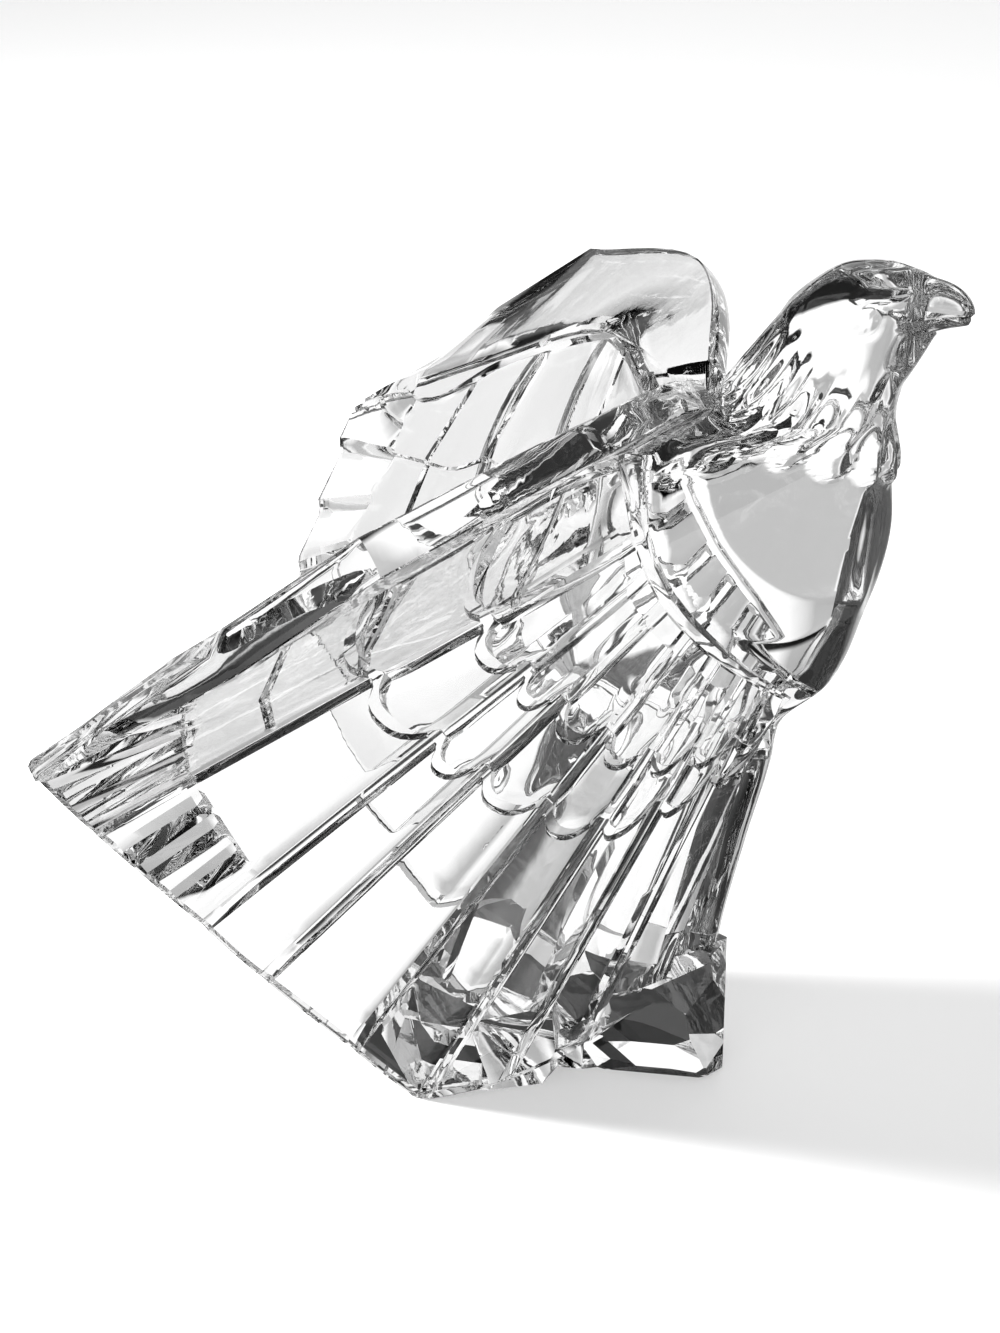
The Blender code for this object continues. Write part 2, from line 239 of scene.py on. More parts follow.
def feed(tree: bpy.types.NodeTree, node: bpy.types.Node, inputs: dict[str | int, object]) -> None:
    """Links the inputs of a node that are given a socket, and sets the rest to plain values.

    Args:
        tree: The node's tree.
        node: The node.
        inputs: A socket or a plain value for each input, by name or number.
    """
    for name, value in inputs.items():
        if isinstance(value, bpy.types.NodeSocket):
            tree.links.new(value, node.inputs[name])
        else:
            node.inputs[name].default_value = value


def add_node(tree: bpy.types.NodeTree, kind: str, inputs: dict[str | int, object],
             **settings: str) -> bpy.types.NodeOutputs:
    """Adds a node.

    Args:
        tree: The tree that it goes into.
        kind: Its type, after "ShaderNode".
        inputs: A socket or a plain value for each input, by name or number.
        settings: Choices on the node itself, which are made first.

    Returns:
        Its outputs.
    """
    node = tree.nodes.new(f"ShaderNode{kind}")
    for name, choice in settings.items():
        setattr(node, name, choice)
    feed(tree, node, inputs)
    return node.outputs


@dataclass
class WingShape:
    """One raised wing, as the bird's left one: a slab over ribs, cut with rows of feathers.

    Rib 0 is the leading edge, rib 1 the lower line of the smooth band behind it, and the rest
    are the straight cuts between the feathers. A place on the wing is its rib number, with the
    share of the way to the next rib as decimals, and the share of the way along the rib.
    """

    leading_edge: Landmarks = ((8.6, 4.7, 85.0), (6.5, 18.9, 88.7), (1.4, 35.0, 90.3),
                               (-16.6, 59.7, 85.0))
    wing_tip: Numbers = (-50.0, 66.4, 62.0)
    band_line: Landmarks = ((-0.7, 13.9, 80.7), (-4.1, 23.5, 81.5), (-12.4, 40.8, 78.9),
                            (-27.5, 50.5, 71.2), (-50.9, 62.9, 59.3))
    feather_roots: Landmarks = ((2.0, 11.2, 71.2), (5.2, 11.6, 64.4), (11.1, 9.7, 57.2),
                                (17.2, 3.1, 50.1))
    feather_tips: Landmarks = ((-53.4, 41.5, 43.2), (-45.6, 29.7, 26.8), (-40.1, 25.4, 18.3),
                               (-31.0, 21.2, 7.8), (-23.6, 18.0, -0.4), (-14.0, 15.4, 1.6),
                               (-5.0, 11.8, 5.6), (4.6, 7.1, 12.4))
    shoulder_line: Landmarks = ((9.0, -2.0, 79.0), (7.5, -2.0, 74.0), (9.0, -2.0, 65.0),
                                (14.0, -2.0, 50.0))
    root_wall: float = 0.0042
    tip_wall: float = 0.0076
    neck_run: float = 0.34
    neck_sink: float = 0.75
    edge_round: float = 0.0010
    edge_set_back: float = 0.15
    groove_width: float = 0.0042
    groove_depth: float = 0.0019
    back_groove_depth: float = 0.0009
    widest_groove: float = 0.3
    crown: float = 0.0006
    tier_step: float = 0.0016
    band_step: float = 0.0018
    bead_width: float = 0.0028
    bead_height: float = 0.0008
    bead_reach: float = 1.01
    bead_gap: float = 0.2
    dome_run: float = 0.0085
    dome_drop: float = 0.0010
    dome_foot: float = 0.99
    usual_feather: float = 0.65
    tier_ends: Landmarks = ((0.29, 0.135), (0.49, 0.215))
    tier_rounding: float = 0.045
    tier_flattening: float = 0.5
    tier_squareness: float = 2.6
    bevel_ribs: Numbers = (0.0, 1.0, 2.8, 3.6, 4.5)
    bevel_starts: Numbers = (0.765, 0.775, 0.86, 0.90, 0.93)
    bevel_edges: Numbers = (0.0044, 0.0044, 0.0046, 0.0028, 0.0070)
    bevel_crease: float = 0.003
    facet_turns: Landmarks = ((0.0, 0.0), (1.1, 1.0), (1.6, 3.0), (2.0, 5.0), (3.0, 9.0))
    facet_return: float = 0.85
    facet_depth: float = 0.0034
    facet_fade: float = 0.4
    facet_start: float = 0.05
    shallow_cut: float = 0.25
    shoulder_thinning: float = 0.5
    probe: float = 0.01
    band_columns: int = 9
    cut_steps: Numbers = (0.0, 0.66, 0.84, 1.0)
    cut_power: float = 6.0
    panel_columns: int = 9
    edge_columns: int = 7
    edge_gap: float = 0.01
    bead_rows: int = 6
    tier_rows: tuple[int, ...] = (7, 4)
    dome_rows: int = 5
    groove_rows: Numbers = (-0.84, -0.66, 0.66, 0.84)
    blade_rows: tuple[int, int] = (14, 12)
    tip_chamfer: float = 0.0009
    back_band_line: Landmarks = ((0.0, 0.55), (0.05, 0.78), (0.18, 1.0), (0.39, 1.11),
                                 (0.56, 1.11), (0.71, 1.20), (0.86, 0.90), (0.94, 0.55),
                                 (1.0, 0.40))
    back_tier_line: Landmarks = ((0.0, 1.92), (0.27, 1.88), (0.45, 1.67), (0.52, 1.67),
                                 (0.63, 1.56), (0.76, 1.44), (1.0, 1.24))
    back_cuts: Landmarks = ((0.07, 0.28), (0.445, 0.10), (0.615, 0.10))
    back_cut_width: float = 0.0024
    back_cut_depth: float = 0.0010
    back_cut_room: float = 1.4
    back_cut_fades: tuple[float, float] = (0.05, 0.1)
    back_tier_step: float = 0.0008
    back_tier_room: float = 0.03
    back_step_run: float = 0.0008
    back_groove_start: float = 1.5
    back_front_run: float = 0.5
    back_places: Numbers = (0.0, 1.1, 1.6, 2.0)
    back_columns: tuple[int, ...] = (16, 24, 20)
    back_panels: tuple[int, ...] = (18, 9, 8, 8, 7, 7, 6)
    back_cut_rows: int = 5

    def strips(self) -> int:
        """How many strips the wing has: the smooth band and the feathers."""
        return len(self.feather_tips) + 1

    def front_line(self, share: Array) -> Array:
        """Points on the leading edge: a smooth curve to the wrist, then straight to the tip."""
        wrist, tip = np.array(self.leading_edge[-1]), np.array(self.wing_tip)
        arm = np.linalg.norm(np.diff(np.array(self.leading_edge), axis=0), axis=1).sum()
        bend = arm / (arm + np.linalg.norm(tip - wrist))
        curved = smooth_curve(self.leading_edge, np.minimum(share / bend, 1.0))
        past = clamp((share - bend) / (1.0 - bend))[..., None]
        return np.where(past > 0.0, wrist + past * (tip - wrist), curved)

    def rib_point(self, rib: Array, share: Array) -> Array:
        """Points on ribs, in metres.

        A feather's cut runs straight from its root to its tip: root + share (tip - root).

        Args:
            rib: Index of the rib for each point.
            share: Share of the rib's length, in the same shape.

        Returns:
            Points in the shape of share, with one more axis.
        """
        roots = smooth_curve(self.feather_roots, np.linspace(0.0, 1.0, len(self.feather_tips)))
        tips = np.array(self.feather_tips)
        line = np.clip(rib - 2, 0, len(tips) - 1)
        straight = roots[line] + share[..., None] * (tips - roots)[line]
        band = smooth_curve(self.band_line, share)
        upper = np.where((rib == 0)[..., None], self.front_line(share), band)
        return np.where((rib > 1)[..., None], straight, upper) * PERCENT

    def rib_normal(self, rib: Array, share: Array) -> Array:
        """Outward normals on ribs: across the neighbouring ribs, crossed with along this one."""
        along = self.rib_point(rib, share + self.probe) - self.rib_point(rib, share - self.probe)
        across = (self.rib_point(np.minimum(rib + 1, self.strips()), share)
                  - self.rib_point(np.maximum(rib - 1, 0), share))
        return unit(np.cross(across, along))

    def width(self, strip: Array, along: Array) -> Array:
        """Widths of a strip, from its rib to the next one, in metres."""
        across = self.rib_point(strip + 1, along) - self.rib_point(strip, along)
        return np.linalg.norm(across, axis=-1)

    def half_cut(self, strip: Array, along: Array) -> Array:
        """Half a feather cut's width as a share of the strip, held back where strips are narrow."""
        return np.minimum(0.5 * self.groove_width / self.width(strip, along), self.widest_groove)

    def middle(self, strip: Array, share: Array, along: Array) -> tuple[Array, Array]:
        """Middle surface, ruled straight from each rib to the next.

        Args:
            strip: Number of the strip.
            share: Share of the way across the strip.
            along: Share of the way along the feathers, in the shape of the other two.

        Returns:
            Points and the outward directions there.
        """
        low, high = self.rib_point(strip, along), self.rib_point(strip + 1, along)
        blend = share[..., None]
        facing = ((1.0 - blend) * self.rib_normal(strip, along)
                  + blend * self.rib_normal(strip + 1, along))
        return low + blend * (high - low), unit(facing)

    def bevel(self, place: Array) -> Array:
        """Share of the way along the feathers at which the tips start to thin."""
        return np.interp(place, self.bevel_ribs, self.bevel_starts)

    def past_bevel(self, place: Array, along: Array) -> Array:
        """Share of the way from the start of the bevel to the tip, nothing before it."""
        start = self.bevel(place)
        return clamp((along - start) / (1.0 - start))

    def wall(self, place: Array, along: Array) -> Array:
        """Thickness of the slab.

        It thins evenly from the roots to the tips, and past the bevel much faster, down to a
        thin edge: wall + (edge - wall) past.
        """
        wall = self.root_wall + (self.tip_wall - self.root_wall) * along
        edge = np.interp(place, self.bevel_ribs, self.bevel_edges)
        return wall + (edge - wall) * self.past_bevel(place, along)

    def front_lift(self, place: Array, along: Array) -> Array:
        """How far the smooth band stands out of line.

        It is a wall at its front and nothing at rib 1, and it sinks back at the neck.
        """
        at_neck = 1.0 - self.neck_sink * hump(along / self.neck_run)
        return self.wall(place, along) * clamp(1.0 - place) * at_neck

    def flute(self, offset: Array) -> Array:
        """Depth of a cut across its half width, 0 to 1: steep walls and a flat floor, 1 - x ^ n."""
        return clamp(1.0 - np.abs(offset) ** self.cut_power)

    def columns(self) -> tuple[Array, Array, Array]:
        """Columns of the outer face.

        A column lies at share base + reach c of its strip, where c is half a cut's width as a
        share of the strip. So cut columns keep to the cut and panel columns fill the rest.

        Returns:
            The strip, base and reach of each column.
        """
        flute = np.array(self.cut_steps)
        panel = np.linspace(0.0, 1.0, self.panel_columns + 1)[1:-1]
        base = np.concatenate([0.0 * flute, panel, 1.0 + 0.0 * flute[1:]])
        reach = np.concatenate([flute, 1.0 - 2.0 * panel, -flute[:0:-1]])
        smooth = np.linspace(0.0, 1.0, self.band_columns)
        feathers = len(self.feather_tips)
        strip = np.concatenate([np.zeros(len(smooth), int),
                                np.repeat(np.arange(1, feathers + 1), len(base)), [feathers]])
        base = np.concatenate([smooth, np.tile(base, feathers), [1.0]])
        reach = np.concatenate([-smooth, np.tile(reach, feathers), [0.0]])
        return strip, base, reach

    def usual_metres(self) -> float:
        """Length of a usual feather, from its root to its tip, in metres."""
        return self.usual_feather * HEIGHT

    def tip_rows(self, start: Array, bevel: Array, counts: tuple[int, int]) -> list[Array]:
        """Rows to the crease of the bevel, on from it to the chamfer, and a last one at the tips.

        Args:
            start: Share along the feather of the first row, for each column.
            bevel: Share at which the bevel starts, for each column.
            counts: How many rows lie before the crease, and how many past it.

        Returns:
            The shares in three blocks, columns by rows.
        """
        chamfer = np.full_like(bevel, 1.0 - self.tip_chamfer / self.usual_metres())
        return [between(start, bevel - self.bevel_crease, counts[0]),
                between(bevel + self.bevel_crease, chamfer, counts[1]),
                np.ones((len(bevel), 1))]

    def rows(self, strip: Array, base: Array) -> tuple[Array, Array]:
        """Rows of the outer face, set by the bead, the ends of the feathers and the bevel.

        An end lies lower at the middle of a feather: end + rounding (1 - |2 base - 1| ^ n).

        Args:
            strip: Strip of each column.
            base: Place of each column in its strip.

        Returns:
            The share along the feather, columns by rows, and the ends in each column.
        """
        sizes = (self.bead_width, 0.5 * self.groove_width, self.dome_run)
        bead, half, dome = (size / self.usual_metres() for size in sizes)
        down = clamp((strip + base - 1.0) / len(self.feather_tips))
        bulge = (1.0 - np.abs(2.0 * base - 1.0) ** self.tier_squareness) * (strip > 0)
        bulge = self.tier_rounding * bulge * (1.0 - self.tier_flattening * down)
        ends = np.stack([top + (low - top) * down ** 2 + bulge for top, low in self.tier_ends])
        bevel = self.bevel(strip + base)
        turn = np.linspace(0.0, np.pi, self.bead_rows)
        parts = [0.5 * bead * (1.0 - np.cos(turn)) + 0.0 * bevel[:, None]]
        start = np.full_like(bevel, bead + self.bead_gap * half)
        for end, count in zip(ends, self.tier_rows):
            parts.append(between(start, end - dome, count)[:, :-1])
            parts.append(between(end - dome, end - half, self.dome_rows))
            parts.append(end[:, None] + half * np.array(self.groove_rows))
            start = end + half
        parts += self.tip_rows(start, bevel, self.blade_rows)
        return np.concatenate(parts, axis=1), ends

    def outer_face(self) -> tuple[Array, Array]:
        """Outer face, in metres: the middle surface plus the relief.

        The relief is a crown on each feather, less the cut along each rib and round each
        feather's end, plus a step for each upper row that covers the place, less the drop
        before each end. A round bead runs along the roots.

        Returns:
            Points, columns by rows by coordinates, and the place of each column at the tips.
        """
        strip, base, reach = self.columns()
        along, ends = self.rows(strip, base)
        strips = np.broadcast_to(strip[:, None], along.shape)
        half_cut = self.half_cut(strips, along)
        share = base[:, None] + reach[:, None] * half_cut
        middle, facing = self.middle(strips, share, along)
        metres = along * self.usual_metres()
        flute = self.flute(np.minimum(share, 1.0 - share) / half_cut)
        flute = flute * 2.0 * half_cut * self.width(strips, along) / self.groove_width
        steps, foot = 0.0 * along, self.cut_steps[1]
        for end in ends:
            past = metres - end[:, None] * self.usual_metres()
            off_end = past / (0.5 * self.groove_width)
            flute = np.maximum(flute, self.flute(off_end))
            steps = steps + self.tier_step * clamp((-foot - off_end) / (1.0 - foot))
            drop = clamp(past / self.dome_run + 1.0)
            steps = steps - self.dome_drop * np.where(off_end < -self.dome_foot, drop ** 2, 0.0)
        bead = clamp(1.0 - (2.0 * metres / self.bead_width - 1.0) ** 2) ** 0.5
        on_bead = metres < self.bead_reach * self.bead_width
        flute = np.where(on_bead, 0.0, flute)
        relief = self.crown * (1.0 - (2.0 * share - 1.0) ** 2) * ~on_bead + self.bead_height * bead
        past = self.past_bevel(strips + share, along)
        shallower = 1.0 - (1.0 - self.shallow_cut) * past
        relief = relief - self.groove_depth * flute * shallower + steps
        relief = np.where(strips > 0, relief, self.band_step * (1.0 - past))
        relief[:, -1] -= self.tip_chamfer
        face = middle + facing * (relief + self.front_lift(strips + share, along))[..., None]
        return face, (strips + share)[:, -1]

    def tip_facets(self, column: Array, past: Array) -> Array:
        """Depth of the facets cut into the inner face past the bevel.

        Over the band and the first feathers the depth falls evenly over most of each turn, and
        goes back in the rest of it. A slab that thickens so sends the light round inside it,
        which makes the facets dark and their returns bright.

        Args:
            column: Usual place of each column on the wing.
            past: Share of the way past the bevel, columns by rows.

        Returns:
            Depths in metres, in the shape of past.
        """
        turn = np.interp(column, *np.array(self.facet_turns).T) % 1.0
        depth = np.interp(turn, (0.0, self.facet_return, 1.0), (1.0, 0.0, 1.0))
        depth = depth * (column < self.facet_turns[-1][0])
        reach = clamp(past / self.facet_start) * (1.0 - self.facet_fade * past)
        return self.facet_depth * depth[:, None] * reach

    def panels(self) -> list[tuple[int, int]]:
        """Each feather past the first, with how many columns its inner face has."""
        return list(zip(range(2, self.strips()), self.back_panels))

    def back_rows(self, nominal: Array, rows: int) -> tuple[Array, Array, list[Array]]:
        """Rows of the inner face, set by its slanting cuts and the bevel.

        At the leading edge they turn into the outer face's rows: own rows + (1 - own) outer
        rows, where own rises from nothing there.

        Args:
            nominal: Usual place of each column on the wing.
            rows: How many rows the outer face has.

        Returns:
            The share along the feather, columns by rows, the first column's own shares, and the
            middle of each cut.
        """
        count, slanted = self.back_cut_rows, self.blade_rows[1]
        free = rows - len(self.back_cuts) * count - slanted - 1
        gap = free // (len(self.back_cuts) + 1)
        half = 0.5 * self.back_cut_width / self.usual_metres()
        room = self.back_cut_room * half
        within = np.clip(nominal, 1.0, self.back_places[2]) - 1.0
        middles = [place + lean * within for place, lean in self.back_cuts]
        start, parts = 0.0 * nominal, []
        for middle in middles:
            parts.append(between(start, middle - room, gap))
            parts.append(middle[:, None] + half * np.linspace(-1.0, 1.0, count))
            start = middle + room
        last = free - len(middles) * gap
        parts += self.tip_rows(start, self.bevel(nominal), (last, slanted))
        along = np.concatenate(parts, axis=1)
        front, _ = self.rows(np.zeros(1, int), np.zeros(1))
        own = clamp(nominal / self.back_front_run)[:, None]
        return own * along + (1.0 - own) * front, along[0], middles

    def back_lines(self, usual: Array) -> tuple[Array, Array, Array]:
        """Lines that the inner face's columns follow: its band's and its short feathers'.

        Args:
            usual: Share of the way along the feathers of each row.

        Returns:
            The place of each line in each row, and the places of the columns, columns by rows.
        """
        near_band, near_tier, rest = self.back_columns
        band = smooth_line(self.back_band_line, usual)
        run = 0.5 * self.back_step_run / self.width(np.ones(len(band), int), usual)
        cuts = [self.half_cut(np.full(len(band), k), usual) for k in range(self.strips())]
        edge = 2.0 - cuts[1]
        tier = smooth_line(self.back_tier_line, usual)
        tier = np.minimum(tier, edge - run - self.back_tier_room)
        groups = [between(0.0 * band, band - run, near_band),
                  between(band + run, tier - run, near_tier), between(tier + run, edge, rest)]
        for k, number in self.panels():
            last = k + 1.0 - (cuts[k] if k < self.strips() - 1 else 0.0)
            groups += [np.full((len(band), 1), float(k)), between(k + cuts[k], last, number)]
        return band, tier, np.concatenate(groups, axis=1).T

    def inner_face(self, rows: int) -> tuple[Array, Array]:
        """Inner face, in metres: the middle surface less the wall and the relief.

        The relief is a shallow cut along each rib, the step of the smooth band, a step down
        past the short feathers, and slanting cuts from the band to the next feather. It fades
        out past the bevel, where the facets take over.

        Args:
            rows: How many rows the outer face has.

        Returns:
            Points, as many as on the outer face, and the place of each column at the tips.
        """
        stretches = list(zip(self.back_places, self.back_places[1:], self.back_columns))
        stretches += [(k, k + 1.0, number + 1) for k, number in self.panels()]
        nominal = np.concatenate([np.linspace(*stretch) for stretch in stretches])
        along, usual, cuts = self.back_rows(nominal, rows)
        band, tier, place = self.back_lines(usual)
        strip = np.clip(place.astype(int), 0, self.strips() - 1)
        share = place - strip
        middle, facing = self.middle(strip, share, along)
        flute = self.flute(np.minimum(share, 1.0 - share) / self.half_cut(strip, along))
        flute = flute * (place > self.back_groove_start)
        relief = -self.back_groove_depth * flute + self.band_step * (place < band)
        relief = relief - self.back_tier_step * (place > tier)
        rise, fall = self.back_cut_fades
        fade = clamp((place - band) / rise) * clamp((2.0 - place) / fall)
        for cut in cuts:
            off = (along - cut[:, None]) * self.usual_metres() / (0.5 * self.back_cut_width)
            relief = relief - self.back_cut_depth * clamp(1.0 - off ** 2) * fade
        past = self.past_bevel(place, along)
        relief = relief * (1.0 - past) - self.tip_facets(nominal, past)
        relief[:, -1] -= self.tip_chamfer
        depth = self.wall(place, along) - self.front_lift(place, along) + relief
        return middle - facing * depth[..., None], place[:, -1]

    def rings(self) -> tuple[Array, Array]:
        """Closed loops round the wing, one for each row, and the lid that closes the tips.

        A loop runs down the outer face, back up the inner face and round the leading edge on
        half an ellipse: a row of cosines out to the ridge and sines across the wall.
        """
        outer, outer_places = self.outer_face()
        inner, inner_places = self.inner_face(outer.shape[1])
        strip, base, _ = self.columns()
        line = smooth_curve(self.shoulder_line, (strip + base) / self.strips()) * PERCENT
        wall = (inner[:, 0] - outer[:, 0]) * self.shoulder_thinning
        outer = np.concatenate([line[:, None], outer], axis=1)
        inner = np.concatenate([(line + wall)[:, None], inner], axis=1)
        spread = unit(outer[0] - outer[2])
        spread[0] = 0.0
        thickness = np.linalg.norm(outer[0] - inner[0], axis=-1)[:, None]
        outer[0] -= spread * self.edge_set_back * thickness
        out = spread * self.edge_round
        turn = np.linspace(0.0, np.pi, self.edge_columns + 2)[1:-1, None, None]
        centre, half = 0.5 * (outer[0] + inner[0]), 0.5 * (inner[0] - outer[0])
        nose = centre - np.cos(turn) * half + np.sin(turn) * out
        loops = np.concatenate([outer, inner[::-1], nose[::-1]])
        count = len(outer)
        ahead = np.arange(self.edge_columns // 2 + 1)
        ridge = 2 * count + self.edge_columns // 2
        left = np.concatenate([ridge + ahead, np.arange(count)])
        right = np.concatenate([ridge - ahead, 2 * count - 1 - np.arange(count)])
        before = self.edge_gap * (ahead - float(len(ahead)))
        lid = zipped(left, right, np.concatenate([before, outer_places]),
                     np.concatenate([before, inner_places]))
        return loops.transpose(1, 0, 2), lid

    def mesh(self, side: Side) -> bpy.types.Mesh:
        """Closed mesh of the wing on one side of the bird."""
        loops, lid = self.rings()
        return loft_mesh(f"{side.name.lower()}_wing", loops * (1.0, side.value, 1.0), lid)


@dataclass
class BodyShape:
    """Breast, neck and head: level rings that are rounded squares, with a hooked beak.

    Heights are percents of the figure's height, and a turn of zero is the front.
    """

    rings_table: Landmarks = (
        (8.0, 8.8, -12.5, 5.0), (13.9, 9.3, -12.0, 5.2), (29.0, 12.7, -11.0, 5.4),
        (39.6, 15.6, -10.5, 5.6), (44.5, 16.6, -10.0, 5.8), (50.2, 22.4, -9.6, 6.6),
        (53.6, 24.2, -9.4, 8.4), (57.9, 25.7, -9.2, 10.4), (64.2, 27.6, -9.0, 12.0),
        (70.2, 28.6, -8.0, 12.2), (76.0, 28.6, -6.6, 11.4), (80.0, 28.4, -2.0, 9.8),
        (83.4, 28.8, 8.2, 7.8), (87.9, 30.0, 12.2, 7.1), (92.5, 30.9, 15.2, 6.9),
        (95.6, 31.0, 17.2, 6.2), (97.8, 30.8, 19.8, 5.0), (99.2, 30.0, 22.0, 3.2),
        (100.0, 27.0, 25.6, 0.5))
    beak_table: Landmarks = ((86.0, 0.0), (88.5, 1.0), (90.2, 1.6), (91.9, 2.3), (92.7, 3.0),
                             (93.0, 5.2), (93.4, 5.8), (94.8, 6.2), (95.9, 5.8), (96.9, 5.0),
                             (97.9, 3.4), (98.3, 2.2), (98.7, 1.7), (99.6, 0.0))
    facets: Landmarks = (
        (0.30, 1.00, 0.10, 11.0, 10.6, 66.0), (0.22, 1.00, 0.26, 11.0, 9.95, 72.5),
        (0.75, 0.66, -0.05, 22.2, 8.9, 66.0))
    facet_fade: tuple[float, float] = (79.0, 83.0)
    beak_half_angle: float = math.radians(34.0)
    squareness: float = 2.3
    sides: int = 144
    levels: int = 250
    eye_turn: float = math.radians(72.0)
    eye_level: float = 94.6
    eye_arm: float = 6.6
    eye_size: float = 1.5
    eye_ring: float = 1.0
    eye_depth: float = 0.0006
    brow_turn: float = 0.8
    brow_level: float = 97.2
    brow_spread: float = 0.8
    brow_depth: float = 0.0011
    mouth_level: float = 93.9
    mouth_spread: float = 0.5
    mouth_back: float = math.radians(46.0)
    mouth_fade: float = 0.2
    mouth_depth: float = 0.0009
    ruff_levels: tuple[float, float] = (82.0, 5.0)
    ruff_locks: int = 9
    ruff_scallop: float = 1.8
    ruff_edge: float = 0.7
    ruff_run: float = 12.0
    ruff_depth: float = 0.0016
    lock_middle: float = 0.4
    lock_run: float = 7.0
    lock_depth: float = 0.0009
    plume_level: float = 68.0
    plume_run: float = 11.0
    plume_spread: float = math.radians(62.0)
    plumes: int = 16
    plume_depth: float = 0.0007
    boss_turn: float = math.radians(97.0)
    boss_level: float = 79.4
    boss_arm: float = 10.0
    boss_rings: float = 1.5
    boss_size: float = 3.2
    boss_depth: float = 0.0009

    def carving(self, level: Array, off_front: Array) -> Array:
        """Height of the carving over the smooth body, in metres.

        An eye with a ring cut round it, a brow, the line of the mouth, a ruff of locks whose
        scalloped edge runs down to the front, plumes on the breast and a ringed boss at each
        shoulder.

        Args:
            level: Height of each ring, as a column.
            off_front: Turn from the front, as a row.

        Returns:
            Heights, rings by corners.
        """
        from_eye = np.hypot((off_front - self.eye_turn) * self.eye_arm, level - self.eye_level)
        eye = hump(from_eye / self.eye_size) - hump((from_eye - self.eye_size) / self.eye_ring)
        brow_middle = self.brow_turn * self.eye_turn
        brow_line = hump((off_front - brow_middle) / brow_middle)
        brow = brow_line * hump((level - self.brow_level) / self.brow_spread)
        at_mouth = hump((level - self.mouth_level) / self.mouth_spread)
        mouth = at_mouth * clamp((self.mouth_back - off_front) / self.mouth_fade)
        middle, fall = self.ruff_levels
        scallop = self.ruff_scallop * np.abs(np.sin(self.ruff_locks * off_front))
        line = middle - fall * np.cos(off_front) - scallop
        over = (level - line) / self.ruff_edge
        ruff = clamp(0.5 + 0.5 * over)
        ruff = ruff * hump(np.maximum(level - line, 0.0) / self.ruff_run)
        locks = np.cos(2.0 * self.ruff_locks * off_front) * (over > 0.0)
        locks = locks * hump((level - line - self.lock_middle * self.lock_run) / self.lock_run)
        plume = np.cos(self.plumes * off_front) * hump(off_front / self.plume_spread)
        plume = plume * hump((level - self.plume_level) / self.plume_run)
        from_boss = np.hypot((off_front - self.boss_turn) * self.boss_arm, level - self.boss_level)
        boss = np.cos(2.0 * np.pi * from_boss / self.boss_rings) * hump(from_boss / self.boss_size)
        head = self.eye_depth * eye + self.brow_depth * brow - self.mouth_depth * mouth
        neck = self.boss_depth * boss + self.ruff_depth * ruff - self.lock_depth * locks
        return head + neck + self.plume_depth * plume

    def rings(self) -> Array:
        """Level rings: half sizes times (|cos| ^ n + |sin| ^ n) ^ (-1 / n), plus the beak."""
        steps = np.linspace(0.0, 1.0, self.levels)
        level, front, back, half = smooth_curve(self.rings_table, steps).T
        at_beak = np.clip(level, self.beak_table[0][0], self.beak_table[-1][0])
        beak = np.maximum(smooth_line(self.beak_table, at_beak), 0.0)
        turn = np.linspace(0.0, 2.0 * np.pi, self.sides, endpoint=False)
        cosine, sine = np.cos(turn), np.sin(turn)
        power = self.squareness
        radius = (np.abs(cosine) ** power + np.abs(sine) ** power) ** (-1.0 / power)
        middle, reach = 0.5 * (front + back), 0.5 * (front - back)
        off_front = np.minimum(turn, 2.0 * np.pi - turn)
        lobe = hump(off_front / self.beak_half_angle)
        rings = np.empty((self.levels, self.sides, 3))
        rings[..., 0] = middle[:, None] + reach[:, None] * radius * cosine
        rings[..., 1] = half[:, None] * radius * sine
        rings[..., 2] = level[:, None]
        rings = self.faceted(rings)
        carving = self.carving(level[:, None], off_front[None]) / PERCENT
        rings[..., 0] += carving * cosine + beak[:, None] * lobe
        rings[..., 1] += carving * sine
        return rings * PERCENT

    def faceted(self, rings: Array) -> Array:
        """Rings with flat facets on both flanks: what stands past a facet goes back onto it.

        Args:
            rings: Rings of the smooth body, in percents.

        Returns:
            The rings with their facets. These fade out towards the neck.
        """
        low, high = self.facet_fade
        fade = clamp((high - rings[..., 2]) / (high - low))
        for facet in np.array(self.facets):
            for side in Side:
                mirror = np.array((1.0, side.value, 1.0))
                way, point = unit(facet[:3]) * mirror, facet[3:] * mirror
                past = np.maximum((rings - point) @ way, 0.0) * fade
                rings = rings - past[..., None] * way
        return rings

    def mesh(self) -> bpy.types.Mesh:
        """Closed mesh of the body."""
        return loft_mesh("body", self.rings(), folded_lid(self.sides, 0))


